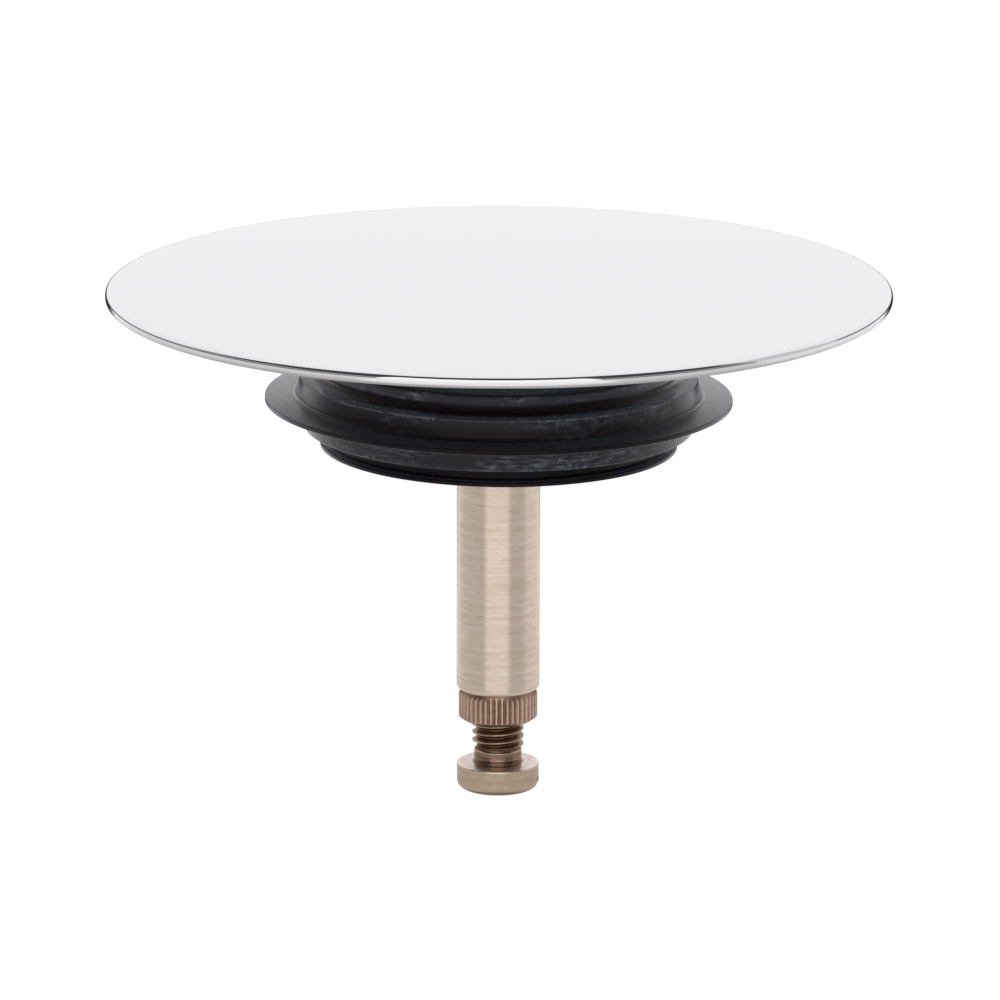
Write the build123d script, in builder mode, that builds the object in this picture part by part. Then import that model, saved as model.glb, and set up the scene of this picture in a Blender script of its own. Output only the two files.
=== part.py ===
from build123d import *
import math
import os

# Bath drain stopper: a chromed cover plate over a rubber profile seal, on a brass stem with a screw foot.
# Sizes are in millimetres. The origin is on the stem's axis, in the plane where the drain's seat meets the
# sealing lip. +Z points up through the cover plate. -Y is the near side, with the slot's end at +X.

os.makedirs("parts", exist_ok=True)

# Fits
thread_gap = 0.05  # radial room between a screw thread's crest and the bore that stands for its nut thread
seat_gap = 0.05  # radial room between a hub and what is pushed over it
seal_clamp = 2.0  # how far the carrier's collar above and the washer below reach over the seal's inner ring
overrun = 1.0  # how far a cut runs past the face that it opens

# Cover plate
cover_radius = 37.5
cover_thickness = 1.15
cover_crown = 0.9  # rise of the plate's centre above its rim
cover_top_round = 0.5
cover_bottom_round = 0.55
cover_gap = 5.45  # from the seal's top face up to the rim's lower edge

# Profile seal, from its top down
seal_wall = 4.35  # rubber between the bore and the neck
seal_neck_height = 1.9
seal_top_round = 0.2
seal_cove = 1.0  # hollow between the neck and the shoulder
shoulder_reach = 2.1
shoulder_height = 1.88
shoulder_draft = 0.4
shoulder_round = 0.06
lip_reach = 2.95
lip_edge = 0.45  # thickness of the sealing lip at its edge
lip_rise = 0.17  # rise of the lip's upper face, from its edge to the shoulder
lip_drop = 0.25  # fall of the lip's lower face, from its edge to the tier
lip_round = 0.1
lip_root_round = 0.5
tier_reach = 2.7
tier_height = 2.5  # from the lip's lower edge down to the tier's
tier_draft = 0.4
tier_round = 0.12
groove_height = 1.45
groove_round = 0.3
lower_lip_reach = 1.2
lower_lip_thickness = 0.4
skirt_wall = 1.2  # rubber between the washer's recess and the groove's floor
recess_depth = 1.15

# Seal carrier
carrier_seat_radius = 12.5
carrier_wall = 1.6
carrier_floor = 2.0
hub_wall = 1.5
rib_count = 6
rib_thickness = 1.2

# Threaded boss
boss_radius = 6.0
boss_roof = 1.75  # metal between the tapped hole and the cover plate
boss_chamfer = 0.4
boss_end_gap = 0.3  # from the boss's lower face down to the carrier's floor

# Retaining washer
washer_thickness = 0.8
washer_room = 0.2  # radial room between the washer and its recess in the seal
washer_chamfer = 0.15

# Stem
stem_radius = 4.0
stem_length = 24.37  # from the shoulder under the washer to the lower end
stem_chamfer = 0.25
spigot_radius = 3.0
spigot_engagement = 6.0
spigot_end_room = 1.0
spigot_chamfer = 0.5
entry_chamfer = 0.3  # lead-in at the mouth of each tapped hole

# Lock nut
nut_wall = 1.25  # from the nut's bore to the knurl's tips
nut_height = 3.25
nut_top_bevel = 0.3  # how far the top bevel cuts in from the tips
nut_top_bevel_height = 0.6
nut_bottom_bevel = 0.6
nut_bottom_bevel_height = 0.4
knurl_count = 43
knurl_depth = 0.18
knurl_tip_flat_share = 0.25  # the share of the knurl's pitch that is left uncut at the tips

# Adjusting screw, M5 x 0.8 right-hand
thread_radius = 2.485
thread_pitch = 0.8
thread_depth = 0.485
thread_crest = 0.1
thread_flank_angle = 30
screw_length = 20.0  # under the head
screw_tip_chamfer = 0.5
screw_end_room = 1.65
neck_radius = 2.315
neck_length = 1.58
nut_to_head = 4.23  # thread left bare between the nut and the head
head_radius = 3.95
head_height = 2.57
head_top_round = 0.35
head_bottom_round = 0.8
slot_width = 1.2
slot_depth = 1.2
slot_turn = -8

# Heights, upwards and downwards from the lip's lower edge
shoulder_foot = lip_edge + lip_rise
shoulder_top = shoulder_foot + shoulder_height
seal_top = shoulder_top + seal_neck_height
rim_bottom = seal_top + cover_gap
tier_bottom = -tier_height
lower_lip_top = tier_bottom - groove_height
lower_lip_bottom = lower_lip_top - lower_lip_thickness
recess_top = lower_lip_bottom + recess_depth
stem_shoulder = recess_top - washer_thickness
stem_end = stem_shoulder - stem_length
nut_bottom = stem_end - nut_height
head_top = nut_bottom - nut_to_head
foot = head_top - head_height

# The plate is pressed to a shallow dome, so its two faces are the same arc, one thickness apart
dome_radius = (cover_radius**2 + cover_crown**2) / (2 * cover_crown)


def underside_points(inner_radius, outer_radius, lift=0):
    """Three points on the cover plate's lower face, or lifted above it, from one radius to another."""
    radii = (inner_radius, (inner_radius + outer_radius) / 2, outer_radius)
    middle = rim_bottom + cover_crown - dome_radius
    return [(r, middle + math.sqrt(dome_radius**2 - r**2) + lift) for r in radii]


# Cover plate
lower_face = underside_points(0, cover_radius)
upper_face = underside_points(0, cover_radius, cover_thickness)
with BuildPart() as cover_plate:
    with BuildSketch(Plane.XZ) as cover_section:
        with BuildLine():
            ThreePointArc(*lower_face)
            Line(lower_face[-1], upper_face[-1])
            ThreePointArc(*upper_face)
            Line(upper_face[0], lower_face[0])
        make_face()
        fillet(cover_section.vertices().group_by(Axis.X)[-1].sort_by(Axis.Y)[0], cover_bottom_round)
        fillet(cover_section.vertices().group_by(Axis.X)[-1].sort_by(Axis.Y)[-1], cover_top_round)
    revolve(axis=Axis.Z)
cover_plate.part.label = "cover_plate"
export_step(cover_plate.part, "parts/cover_plate.step")


# Threaded boss, soldered under the plate's centre
boss_top = underside_points(0, boss_radius)
tapped_depth = spigot_engagement + spigot_end_room
boss_bottom = boss_top[0][1] - boss_roof - tapped_depth
spigot_bore = spigot_radius + thread_gap
with BuildPart() as threaded_boss:
    with BuildSketch(Plane.XZ):
        with BuildLine():
            ThreePointArc(*boss_top)
            Polyline(boss_top[-1], (boss_radius, boss_bottom), (0, boss_bottom), boss_top[0])
        make_face()
    revolve(axis=Axis.Z)
    chamfer(threaded_boss.edges().group_by(Axis.Z)[0], boss_chamfer)
    with BuildSketch(Plane.XY.offset(boss_bottom)):
        Circle(spigot_bore)
    extrude(amount=tapped_depth, mode=Mode.SUBTRACT)
    chamfer(threaded_boss.edges().group_by(Axis.Z)[0].sort_by(SortBy.RADIUS)[0], entry_chamfer)
threaded_boss.part.label = "threaded_boss"
export_step(threaded_boss.part, "parts/threaded_boss.step")


# Seal carrier: a moulded hub, hollowed from above between ribs
boss_pocket = boss_radius + seat_gap
spigot_passage = spigot_radius + seat_gap
pocket_floor = boss_bottom - boss_end_gap
clamp_radius = carrier_seat_radius + seal_clamp
collar_top = underside_points(boss_pocket, clamp_radius)
hub_radius = boss_pocket + hub_wall
with BuildPart() as seal_carrier:
    with BuildSketch(Plane.XZ):
        with BuildLine():
            ThreePointArc(*collar_top)
            Polyline(
                collar_top[-1],
                (clamp_radius, seal_top),
                (carrier_seat_radius, seal_top),
                (carrier_seat_radius, recess_top),
                (spigot_passage, recess_top),
                (spigot_passage, pocket_floor),
                (boss_pocket, pocket_floor),
                collar_top[0],
            )
        make_face()
    revolve(axis=Axis.Z)
    hollow_floor = recess_top + carrier_floor
    with BuildSketch(Plane.XY.offset(hollow_floor)):
        Circle(carrier_seat_radius - carrier_wall)
        Circle(hub_radius, mode=Mode.SUBTRACT)
        with PolarLocations(0, rib_count):
            Rectangle(carrier_seat_radius, rib_thickness, align=(Align.MIN, Align.CENTER), mode=Mode.SUBTRACT)
    extrude(amount=collar_top[0][1] - hollow_floor + overrun, mode=Mode.SUBTRACT)
seal_carrier.part.label = "seal_carrier"
export_step(seal_carrier.part, "parts/seal_carrier.step")


# Profile seal: one ring of rubber, turned from its outline
seal_bore = carrier_seat_radius + seat_gap
neck = seal_bore + seal_wall
shoulder = neck + shoulder_reach
shoulder_foot_radius = shoulder + shoulder_draft
lip_radius = shoulder_foot_radius + lip_reach
recess_radius = clamp_radius + washer_room
groove_radius = recess_radius + skirt_wall
tier_radius = groove_radius + tier_reach
lower_lip_radius = groove_radius + lower_lip_reach
seal_outline = [
    ((seal_bore, recess_top), 0),
    ((recess_radius, recess_top), 0),
    ((recess_radius, lower_lip_bottom), lip_round),
    ((lower_lip_radius, lower_lip_bottom), lip_round),
    ((lower_lip_radius, lower_lip_top), lip_round),
    ((groove_radius, lower_lip_top), groove_round),
    ((groove_radius, tier_bottom), groove_round),
    ((tier_radius, tier_bottom), tier_round),
    ((tier_radius + tier_draft, -lip_drop), groove_round),
    ((lip_radius, 0), lip_round),
    ((lip_radius, lip_edge), lip_round),
    ((shoulder_foot_radius, shoulder_foot), lip_root_round),
    ((shoulder, shoulder_top), shoulder_round),
    ((neck, shoulder_top), seal_cove),
    ((neck, seal_top), seal_top_round),
    ((seal_bore, seal_top), 0),
]
with BuildPart() as profile_seal:
    with BuildSketch(Plane.XZ):
        with BuildLine():
            corners = [corner for corner, rounding in seal_outline]
            roundings = [rounding for corner, rounding in seal_outline]
            FilletPolyline(*corners, radius=roundings, close=True)
        make_face()
    revolve(axis=Axis.Z)
profile_seal.part.label = "profile_seal"
export_step(profile_seal.part, "parts/profile_seal.step")


# Retaining washer, in the recess under the seal
with BuildPart() as retaining_washer:
    with BuildSketch(Plane.XY.offset(stem_shoulder)):
        Circle(clamp_radius)
        Circle(spigot_passage, mode=Mode.SUBTRACT)
    extrude(amount=washer_thickness)
    chamfer(retaining_washer.edges().group_by(Axis.Z)[0].sort_by(SortBy.RADIUS)[-1], washer_chamfer)
retaining_washer.part.label = "retaining_washer"
export_step(retaining_washer.part, "parts/retaining_washer.step")


# Stem: a turned bar with a spigot above its shoulder and a tapped hole in its lower end
screw_bore = thread_radius + thread_gap
screw_hole_depth = screw_length - nut_height - nut_to_head + screw_end_room
with BuildPart() as stem:
    with BuildSketch(Plane.XY.offset(stem_end)):
        Circle(stem_radius)
    extrude(amount=stem_length)
    chamfer(stem.edges().group_by(Axis.Z)[0], stem_chamfer)
    with BuildSketch(Plane.XY.offset(stem_shoulder)):
        Circle(spigot_radius)
    extrude(amount=boss_bottom + spigot_engagement - stem_shoulder)
    chamfer(stem.edges().group_by(Axis.Z)[-1], spigot_chamfer)
    with BuildSketch(Plane.XY.offset(stem_end)):
        Circle(screw_bore)
    extrude(amount=screw_hole_depth, mode=Mode.SUBTRACT)
    chamfer(stem.edges().group_by(Axis.Z)[0].sort_by(SortBy.RADIUS)[0], entry_chamfer)
stem.part.label = "stem"
export_step(stem.part, "parts/stem.step")


# Lock nut: a straight-knurled ring, bevelled above and below
nut_radius = screw_bore + nut_wall
knurl_floor = nut_radius - knurl_depth
knurl_half_width = math.pi * nut_radius / knurl_count * (1 - knurl_tip_flat_share)
with BuildPart() as lock_nut:
    with BuildSketch(Plane.XY.offset(nut_bottom)):
        Circle(nut_radius)
        with PolarLocations(0, knurl_count):
            Polygon(
                (knurl_floor, 0),
                (nut_radius + knurl_depth, -2 * knurl_half_width),
                (nut_radius + knurl_depth, 2 * knurl_half_width),
                align=None,
                mode=Mode.SUBTRACT,
            )
        Circle(screw_bore, mode=Mode.SUBTRACT)
    extrude(amount=nut_height)
    with BuildSketch(Plane.XZ):
        with BuildLine():
            Polyline(
                (0, nut_bottom),
                (nut_radius - nut_bottom_bevel, nut_bottom),
                (nut_radius, nut_bottom + nut_bottom_bevel_height),
                (nut_radius, stem_end - nut_top_bevel_height),
                (nut_radius - nut_top_bevel, stem_end),
                (0, stem_end),
                close=True,
            )
        make_face()
    revolve(axis=Axis.Z, mode=Mode.INTERSECT)
lock_nut.part.label = "lock_nut"
export_step(lock_nut.part, "parts/lock_nut.step")


# Adjusting screw. The thread's ridges are rings at its pitch, turned with the shank from one outline
screw_tip = head_top + screw_length
core_radius = thread_radius - thread_depth
neck_top = head_top + neck_length
thread_length = screw_length - neck_length
flank_rise = thread_depth * math.tan(math.radians(thread_flank_angle))
shank_outline = [(0, head_top), (neck_radius, head_top), (neck_radius, neck_top), (core_radius, neck_top)]
for ridge in range(int(thread_length / thread_pitch)):
    ridge_foot = neck_top + ridge * thread_pitch
    shank_outline += [
        (thread_radius, ridge_foot + flank_rise),
        (thread_radius, ridge_foot + flank_rise + thread_crest),
        (core_radius, ridge_foot + 2 * flank_rise + thread_crest),
        (core_radius, ridge_foot + thread_pitch),
    ]
shank_outline += [(core_radius, screw_tip), (0, screw_tip)]
with BuildPart() as adjusting_screw:
    with BuildSketch(Plane.XY.offset(foot)):
        Circle(head_radius)
    extrude(amount=head_height)
    fillet(adjusting_screw.edges().group_by(Axis.Z)[0], head_bottom_round)
    fillet(adjusting_screw.edges().group_by(Axis.Z)[-1], head_top_round)
    with BuildSketch(Plane.XY.offset(foot)):
        Rectangle(2 * head_radius + overrun, slot_width, rotation=slot_turn)
    extrude(amount=slot_depth, mode=Mode.SUBTRACT)
    with BuildSketch(Plane.XZ):
        with BuildLine():
            Polyline(*shank_outline, close=True)
        make_face()
    revolve(axis=Axis.Z)
    with BuildSketch(Plane.XZ):
        with BuildLine():
            clear_radius = thread_radius + overrun
            tip_radius = thread_radius - screw_tip_chamfer
            Polyline(
                (tip_radius, screw_tip),
                (clear_radius, screw_tip + tip_radius - clear_radius),
                (clear_radius, screw_tip + overrun),
                (tip_radius, screw_tip + overrun),
                close=True,
            )
        make_face()
    revolve(axis=Axis.Z, mode=Mode.SUBTRACT)
adjusting_screw.part.label = "adjusting_screw"
export_step(adjusting_screw.part, "parts/adjusting_screw.step")
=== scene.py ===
# Bath drain stopper: a chrome cover over a rubber seal, on a brass stem with a knurled nut and a screw foot.
# Lengths in the dictionaries are millimetres, and mm turns them into Blender's metres. Angles are degrees.
import math

import bmesh
import bpy
from mathutils import Matrix, Vector


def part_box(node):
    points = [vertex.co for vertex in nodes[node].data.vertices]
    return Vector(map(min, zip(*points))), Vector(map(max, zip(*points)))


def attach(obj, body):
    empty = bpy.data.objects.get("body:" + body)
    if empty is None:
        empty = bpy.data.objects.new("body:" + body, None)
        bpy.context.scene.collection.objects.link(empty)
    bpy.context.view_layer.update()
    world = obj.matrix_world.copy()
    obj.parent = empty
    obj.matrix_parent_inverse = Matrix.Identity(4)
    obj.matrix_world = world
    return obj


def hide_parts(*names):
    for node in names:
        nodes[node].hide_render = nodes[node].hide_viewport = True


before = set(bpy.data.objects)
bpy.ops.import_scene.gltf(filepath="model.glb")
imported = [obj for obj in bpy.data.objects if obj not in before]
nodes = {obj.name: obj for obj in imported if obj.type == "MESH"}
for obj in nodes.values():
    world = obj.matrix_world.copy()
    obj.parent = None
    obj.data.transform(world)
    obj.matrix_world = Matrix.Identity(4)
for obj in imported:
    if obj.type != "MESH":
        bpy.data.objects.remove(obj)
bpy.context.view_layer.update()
mm = 0.001
nodeSpacing = (200, 180)  # between the columns and the rows of a node tree


def nodeBox(name):  # a CAD node's lowest and highest corner, in millimetres
    low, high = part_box(name)
    return low / mm, high / mm


plateHigh = nodeBox("cover_plate")[1]
sealLow, sealHigh = nodeBox("profile_seal")
stemLow, stemHigh = nodeBox("stem")
nutLow, nutHigh = nodeBox("lock_nut")
screwLow, screwHigh = nodeBox("adjusting_screw")
print("frame loaded:", len(nodes), "nodes")
print("plate radius", round(plateHigh.x, 3), "mm, foot at", round(screwLow.z, 3), "mm")


def addNode(tree, kind, column, row, values=None, **settings):
    node = tree.nodes.new(kind)
    node.location = (column * nodeSpacing[0], -row * nodeSpacing[1])
    for name, value in settings.items():
        setattr(node, name, value)
    for socket, value in (values or {}).items():
        node.inputs[socket].default_value = value
    return node


def feed(tree, socket, value):  # links another node's output to a socket, or sets the socket's constant
    if isinstance(value, bpy.types.NodeSocket):
        tree.links.new(value, socket)
    else:
        socket.default_value = value


def addMath(tree, operation, column, row, *values, clamp=False):
    node = addNode(tree, "ShaderNodeMath", column, row, operation=operation, use_clamp=clamp)
    for socket, value in zip(node.inputs, values):
        feed(tree, socket, value)
    return node.outputs[0]


def splitAxes(tree, column, row, vector):  # its x, y and z
    node = addNode(tree, "ShaderNodeSeparateXYZ", column, row)
    tree.links.new(vector, node.inputs[0])
    return list(node.outputs)


def seenFromAbove(tree, column, row, x, y):  # a node for the place without its height, and its radius
    flat = addNode(tree, "ShaderNodeCombineXYZ", column, row)
    tree.links.new(x, flat.inputs[0])
    tree.links.new(y, flat.inputs[1])
    radius = addNode(tree, "ShaderNodeVectorMath", column + 1, row, operation="LENGTH")
    tree.links.new(flat.outputs[0], radius.inputs[0])
    return flat, radius.outputs["Value"]


# Outlines

# A rounding is an arc of arcSteps steps. A side longer than the arc's reach and roomInHolds holds gets a
# point one hold past the arc, so that its shading stays flat.
outlineLook = {"arcSteps": 7, "hold": 0.05, "roomInHolds": 3}


# Corners are (radius, height, rounding), anticlockwise round the metal. The points also say how much of an
# edge they are: 1 on an outer rounding, -1 on an inner one and 0 elsewhere.
def roundOutline(corners, closed):
    look = outlineLook
    points = []
    last = len(corners) - 1
    for index, (radius, height, rounding) in enumerate(corners):
        atEnd = not closed and index in (0, last)
        if atEnd or not rounding:
            points.append((radius, height, 0.0))
            continue
        here = Vector((radius, height))
        before = Vector(corners[index - 1][:2]) - here
        after = Vector(corners[(index + 1) % len(corners)][:2]) - here
        toBefore, toAfter = before.normalized(), after.normalized()
        half = toBefore.angle(toAfter) / 2
        reach = rounding / math.tan(half)
        held = reach + look["hold"]
        longEnough = reach + look["roomInHolds"] * look["hold"]
        centre = here + (toBefore + toAfter).normalized() * (rounding / math.sin(half))
        turn = 1 if toBefore.x * toAfter.y - toBefore.y * toAfter.x < 0 else -1
        spoke = here + toBefore * reach - centre
        if before.length > longEnough:
            points.append((*(here + toBefore * held), 0.0))
        for step in range(look["arcSteps"] + 1):
            angle = turn * (math.pi - 2 * half) * step / look["arcSteps"]
            points.append((*(centre + Matrix.Rotation(angle, 2) @ spoke), float(turn)))
        if after.length > longEnough:
            points.append((*(here + toAfter * held), 0.0))
    return points


def setAttribute(mesh, name, levels):
    mesh.attributes.new(name, "FLOAT", "POINT").data.foreach_set("value", levels)


def outlineMesh(name, points, closed):
    mesh = bpy.data.meshes.new(name)
    places = [(radius * mm, -height * mm, 0) for radius, height, edge in points]
    edges = [(index, index + 1) for index in range(len(points) - 1)]
    if closed:
        edges.append((len(points) - 1, 0))
    mesh.from_pydata(places, edges, [])
    setAttribute(mesh, "edge", [edge for radius, height, edge in points])
    return mesh


# Geometry Nodes

axisRadius = 1e-6  # metres, like the next
weldDistance = 4e-6
rippleLook = {"detail": 1.0, "middle": (0.5, 0.5, 0.5)}  # the noise runs from 0 to 1


def newTree(name, inputs):
    tree = bpy.data.node_groups.new(name, "GeometryNodeTree")
    tree.interface.new_socket("Geometry", in_out="INPUT", socket_type="NodeSocketGeometry")
    for label, kind in inputs:
        tree.interface.new_socket(label, in_out="INPUT", socket_type="NodeSocket" + kind)
    tree.interface.new_socket("Geometry", in_out="OUTPUT", socket_type="NodeSocketGeometry")
    return tree, addNode(tree, "NodeGroupInput", 0, 0), addNode(tree, "NodeGroupOutput", 12, 0)


def chain(tree, *steps):  # links each node's first output to the next node's first input
    for first, second in zip(steps, steps[1:]):
        tree.links.new(first.outputs[0], second.inputs[0])


def turnOutline(tree, source):  # an outline of radius and height becomes a turned solid
    outline = addNode(tree, "GeometryNodeMeshToCurve", 1, 0)
    axis = addNode(tree, "GeometryNodeCurvePrimitiveCircle", 1, 1, {"Radius": axisRadius})
    sweep = addNode(tree, "GeometryNodeCurveToMesh", 2, 0)
    weld = addNode(tree, "GeometryNodeMergeByDistance", 3, 0, {"Distance": weldDistance})
    tree.links.new(source.outputs["Geometry"], outline.inputs[0])
    tree.links.new(source.outputs["Segments"], axis.inputs["Resolution"])
    tree.links.new(axis.outputs["Curve"], sweep.inputs["Curve"])
    tree.links.new(outline.outputs[0], sweep.inputs["Profile Curve"])
    tree.links.new(sweep.outputs[0], weld.inputs[0])
    return weld


def finishTree(tree, shape, source, result):
    realize = addNode(tree, "GeometryNodeRealizeInstances", 9, 0)
    smooth = addNode(tree, "GeometryNodeSetShadeSmooth", 10, 0)
    paint = addNode(tree, "GeometryNodeSetMaterial", 11, 0)
    chain(tree, shape, realize, smooth, paint, result)
    tree.links.new(source.outputs["Material"], paint.inputs["Material"])


def turnedTree():  # a turned piece, with a ripple that moves its surface a little
    kinds = {
        "Segments": "Int", "Ripple": "Float", "Ripple Scale": "Float", "Seed": "Float", "Material": "Material",
    }
    tree, source, result = newTree("turned piece", kinds.items())
    turned = turnOutline(tree, source)
    noise = addNode(tree, "ShaderNodeTexNoise", 4, 2, {"Detail": rippleLook["detail"]}, noise_dimensions="4D")
    tree.links.new(addNode(tree, "GeometryNodeInputPosition", 3, 2).outputs[0], noise.inputs["Vector"])
    tree.links.new(source.outputs["Ripple Scale"], noise.inputs["Scale"])
    tree.links.new(source.outputs["Seed"], noise.inputs["W"])
    centred = addNode(tree, "ShaderNodeVectorMath", 5, 2, {1: rippleLook["middle"]}, operation="SUBTRACT")
    push = addNode(tree, "ShaderNodeVectorMath", 6, 2, operation="SCALE")
    chain(tree, noise, centred, push)
    tree.links.new(noise.outputs["Color"], centred.inputs[0])
    tree.links.new(source.outputs["Ripple"], push.inputs["Scale"])
    moved = addNode(tree, "GeometryNodeSetPosition", 7, 0)
    chain(tree, turned, moved)
    tree.links.new(push.outputs[0], moved.inputs["Offset"])
    finishTree(tree, moved, source, result)
    return tree


# A turned shank whose plain length gets a right-hand thread, which the bevel at its tip cuts off.
def threadTree():
    lengths = ["Core", "Pitch", "Depth", "Crest", "Flank", "Start", "Tip", "Bevel", "Run Out", "Turn"]
    inputs = [("Segments", "Int"), *((name, "Float") for name in lengths), ("Material", "Material")]
    tree, source, result = newTree("threaded piece", inputs)
    turned = turnOutline(tree, source)
    value = source.outputs
    x, y, z = splitAxes(tree, 2, 2, addNode(tree, "GeometryNodeInputPosition", 1, 2).outputs[0])
    flat, radius = seenFromAbove(tree, 3, 5, x, y)
    turnShare = addMath(tree, "DIVIDE", 3, 2, addMath(tree, "ARCTAN2", 3, 1, y, x), math.tau)
    along = addMath(tree, "SUBTRACT", 3, 3, z, value["Start"])
    phase = addMath(tree, "SUBTRACT", 4, 2, addMath(tree, "DIVIDE", 4, 3, along, value["Pitch"]), turnShare)
    share = addMath(tree, "FRACT", 5, 3, addMath(tree, "ADD", 5, 2, phase, value["Turn"]))
    offMiddle = addMath(tree, "ABSOLUTE", 6, 2, addMath(tree, "SUBTRACT", 6, 1, share, 0.5))
    offCrest = addMath(tree, "MULTIPLY", 6, 3, offMiddle, value["Pitch"])
    halfCrest = addMath(tree, "MULTIPLY", 7, 1, value["Crest"], 0.5)
    atRoot = addMath(tree, "ADD", 7, 2, halfCrest, value["Flank"])
    toRoot = addMath(tree, "SUBTRACT", 7, 3, atRoot, offCrest)
    ridge = addMath(tree, "DIVIDE", 8, 2, toRoot, value["Flank"], clamp=True)
    runOut = addMath(tree, "DIVIDE", 8, 3, along, value["Run Out"], clamp=True)
    rise = addMath(tree, "MULTIPLY", 9, 3, addMath(tree, "MULTIPLY", 9, 2, ridge, runOut), value["Depth"])
    toTip = addMath(tree, "SUBTRACT", 9, 4, addMath(tree, "SUBTRACT", 8, 4, value["Tip"], z), value["Bevel"])
    room = addMath(tree, "MAXIMUM", 10, 4, addMath(tree, "ADD", 10, 5, toTip, value["Depth"]), 0.0)
    lift = addMath(tree, "MINIMUM", 10, 3, rise, room)
    outward = addNode(tree, "ShaderNodeVectorMath", 4, 4, operation="NORMALIZE")
    push = addNode(tree, "ShaderNodeVectorMath", 5, 5, operation="SCALE")
    chain(tree, flat, outward, push)
    tree.links.new(lift, push.inputs["Scale"])
    onCore = addMath(tree, "COMPARE", 5, 6, radius, value["Core"], weldDistance)
    above = addMath(tree, "GREATER_THAN", 5, 7, along, 0.0)
    moved = addNode(tree, "GeometryNodeSetPosition", 7, 0)
    chain(tree, turned, moved)
    tree.links.new(addMath(tree, "MULTIPLY", 6, 6, onCore, above), moved.inputs["Selection"])
    tree.links.new(push.outputs[0], moved.inputs["Offset"])
    finishTree(tree, moved, source, result)
    return tree


def repeatTree():  # one sector, repeated round the axis and welded into a ring
    tree, source, result = newTree("repeated round the axis", [("Count", "Int"), ("Material", "Material")])
    points = addNode(tree, "GeometryNodePoints", 2, 1)
    index = addNode(tree, "GeometryNodeInputIndex", 3, 2).outputs[0]
    step = addMath(tree, "DIVIDE", 3, 3, math.tau, source.outputs["Count"])
    turn = addNode(tree, "ShaderNodeCombineXYZ", 5, 2)
    tree.links.new(addMath(tree, "MULTIPLY", 4, 2, index, step), turn.inputs["Z"])
    copies = addNode(tree, "GeometryNodeInstanceOnPoints", 6, 0)
    real = addNode(tree, "GeometryNodeRealizeInstances", 7, 0)
    weld = addNode(tree, "GeometryNodeMergeByDistance", 8, 0, {"Distance": weldDistance})
    tree.links.new(source.outputs["Count"], points.inputs["Count"])
    chain(tree, points, copies, real, weld)
    tree.links.new(source.outputs["Geometry"], copies.inputs["Instance"])
    tree.links.new(turn.outputs[0], copies.inputs["Rotation"])
    finishTree(tree, weld, source, result)
    return tree


def applyModifiers(piece):
    depsgraph = bpy.context.evaluated_depsgraph_get()
    evaluated = piece.evaluated_get(depsgraph)
    finished = bpy.data.meshes.new_from_object(evaluated, preserve_all_data_layers=True, depsgraph=depsgraph)
    piece.modifiers.clear()
    piece.data = finished


def runTree(name, mesh, tree, inputs):
    piece = bpy.data.objects.new(name, mesh)
    bpy.context.scene.collection.objects.link(piece)
    modifier = piece.modifiers.new(tree.name, "NODES")
    modifier.node_group = tree
    for item in tree.interface.items_tree:
        if item.name in inputs:
            modifier[item.identifier] = inputs[item.name]
    applyModifiers(piece)
    return piece


def faceOutwards(piece, sharpBelow=-math.inf, sharpAngle=0):  # sharper edges below that height stay sharp
    shape = bmesh.new()
    shape.from_mesh(piece.data)
    bmesh.ops.recalc_face_normals(shape, faces=shape.faces)
    for edge in shape.edges:
        highest = max(vert.co.z for vert in edge.verts)
        if highest < sharpBelow * mm and len(edge.link_faces) == 2:
            edge.smooth = edge.calc_face_angle() < math.radians(sharpAngle)
    shape.to_mesh(piece.data)
    shape.free()
    triangles = sum(len(face.vertices) - 2 for face in piece.data.polygons)
    print(piece.name, "has", triangles, "triangles")


turnedPiece, threadedPiece, repeatedPiece = turnedTree(), threadTree(), repeatTree()


# Materials

def newMaterial(name):
    material = bpy.data.materials.new(name)
    material.use_nodes = True
    return material, material.node_tree, material.node_tree.nodes["Principled BSDF"]


def objectPlace(tree, column, row):
    return addNode(tree, "ShaderNodeTexCoord", column, row).outputs["Object"]


# Coordinates for the marks that turning leaves, in cycles per mm round the axis and across it. Also gives the
# place as x, y and z, and its distance from the axis.
def ringCoordinates(tree, around, along):
    x, y, z = splitAxes(tree, -8, 0, objectPlace(tree, -9, 0))
    radius = seenFromAbove(tree, -7, 1, x, y)[1]
    across = addMath(tree, "ADD", -6, 4, radius, z)
    rings = addNode(tree, "ShaderNodeCombineXYZ", -5, 0)
    for index, (value, cycles) in enumerate(((x, around), (y, around), (across, along))):
        tree.links.new(addMath(tree, "MULTIPLY", -5, 2 + index, value, cycles / mm), rings.inputs[index])
    return rings.outputs[0], (x, y, z), radius


def addNoise(tree, column, row, vector, scale, detail=2.0, roughness=0.5):
    values = {"Scale": scale, "Detail": detail, "Roughness": roughness}
    noise = addNode(tree, "ShaderNodeTexNoise", column, row, values)
    tree.links.new(vector, noise.inputs["Vector"])
    return noise.outputs["Fac"]


def remap(tree, column, row, value, fromRange, toRange=(0.0, 1.0)):
    ends = dict(zip(("From Min", "From Max", "To Min", "To Max"), (*fromRange, *toRange)))
    node = addNode(tree, "ShaderNodeMapRange", column, row, ends)
    tree.links.new(value, node.inputs["Value"])
    return node.outputs["Result"]


def mixColors(tree, column, row, factor, first, second):
    node = addNode(tree, "ShaderNodeMix", column, row, data_type="RGBA")
    sockets = [socket for socket in node.inputs if socket.type == "RGBA"]
    for socket, color in zip(sockets, (first, second)):
        feed(tree, socket, (*color, 1) if isinstance(color, tuple) else color)
    tree.links.new(factor, node.inputs[0])
    return [socket for socket in node.outputs if socket.type == "RGBA"][0]


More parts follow.
